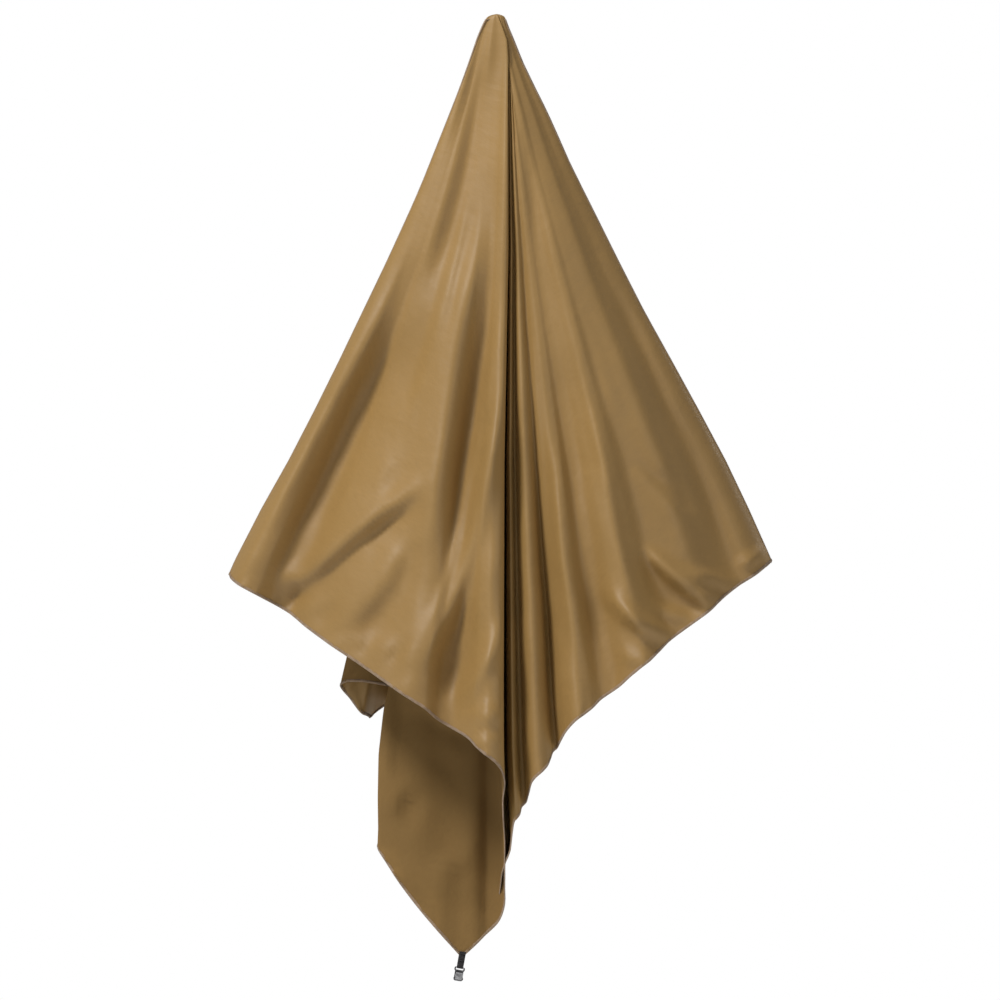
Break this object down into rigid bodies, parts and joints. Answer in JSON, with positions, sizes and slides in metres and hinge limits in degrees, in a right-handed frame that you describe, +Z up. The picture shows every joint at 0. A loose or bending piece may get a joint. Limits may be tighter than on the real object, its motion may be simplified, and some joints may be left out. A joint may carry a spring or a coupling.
{
  "type": "hanging field wrap",
  "caption": "Thin knit field wrap with overlocked edges, hung from the middle of a long edge, with a tape loop and a small lever clip at a corner.",
  "frame": {"origin": "the point that the cloth hangs from, in the middle of its top edge, at the top of the bunched cloth", "axes": "+X to the right across the front, +Y from the front to the back, +Z up"},
  "size_m": [0.8268, 0.4092, 1.4575],
  "materials": {
    "cloth_face": "fine knit, a soft sheen on one side and matte on the other",
    "overlock_thread": "matte thread",
    "black_tape": "woven, matte",
    "black_thread": "matte thread",
    "clip_dark_steel": "dark grey plated, satin",
    "lever_steel": "satin"
  },
  "bodies": {
    "cloth": {"cloth_panel": "cloth_face", "overlock_top": "overlock_thread", "overlock_left": "overlock_thread", "overlock_right": "overlock_thread", "overlock_bottom": "overlock_thread", "webbing_loop": "black_tape", "corner_bartack": "black_thread", "loop_bartack": "black_thread"},
    "clip": {"clip_body": "clip_dark_steel", "clip_pin": "clip_dark_steel"},
    "lever": {"clip_lever": "lever_steel"}
  },
  "joints": [
    {"name": "clip_swing", "type": "hinge", "parent": "cloth", "child": "clip", "pos_m": [-0.05593, 0.08328, -1.43445], "axis": [0.9786, 0.1165, -0.1694], "range_deg": [-60, 60]},
    {"name": "lever_open", "type": "hinge", "parent": "clip", "child": "lever", "pos_m": [-0.05854, 0.08092, -1.45117], "axis": [0.9786, 0.1165, -0.1694], "range_deg": [0, 100]}
  ]
}
